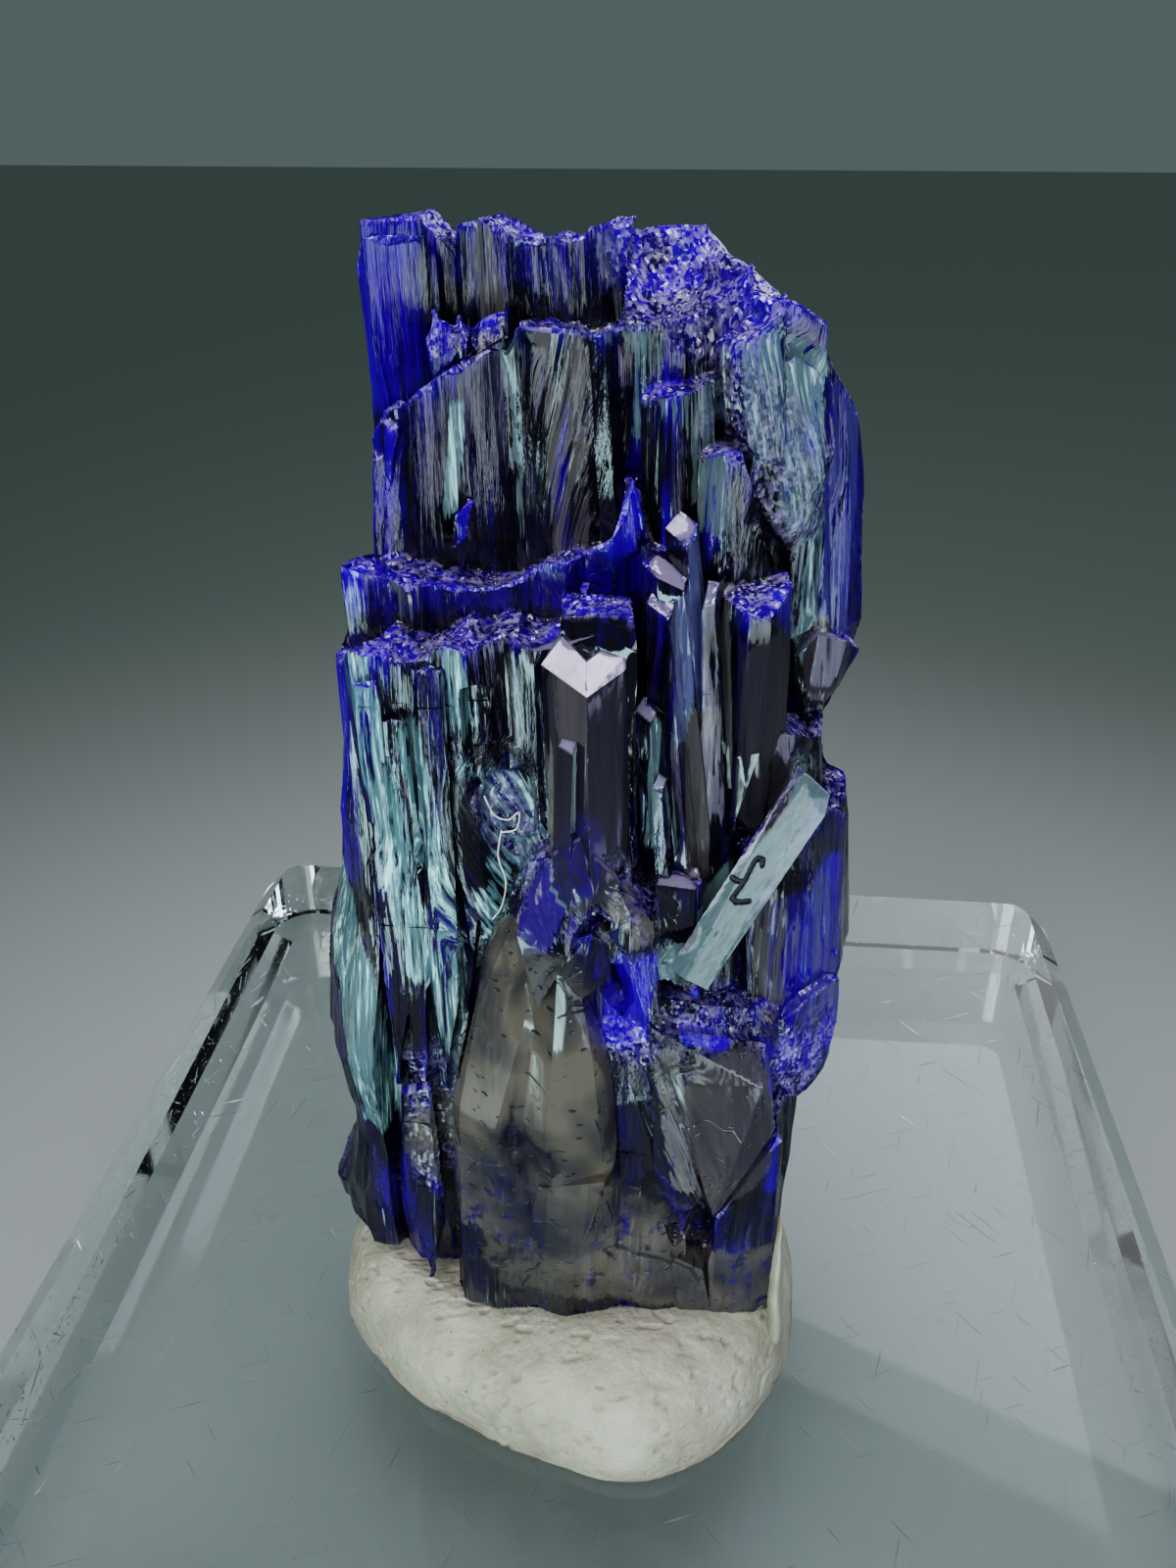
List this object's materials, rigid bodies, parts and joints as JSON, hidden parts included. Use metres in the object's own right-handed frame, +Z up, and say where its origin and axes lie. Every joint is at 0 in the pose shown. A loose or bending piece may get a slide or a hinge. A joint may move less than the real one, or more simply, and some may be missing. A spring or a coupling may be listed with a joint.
{
  "type": "azurite crystal",
  "caption": "Dark blue azurite crystal cluster of stepped, striated columns, set upright in white mineral tack on a clear square display block.",
  "frame": {"origin": "middle of the display block's underside", "axes": "+Z up through the block, +X to the right along the block's front edge, +Y to the back"},
  "size_m": [0.032, 0.032, 0.0344],
  "materials": {
    "azurite": "vitreous crystal faces, granular blue fractures",
    "tack": "pressed by hand, soft matt",
    "acrylic": "clear, polished"
  },
  "bodies": {
    "root": {"azurite_crystal": "azurite", "mineral_tack": "tack", "acrylic_base": "acrylic"}
  },
  "joints": []
}
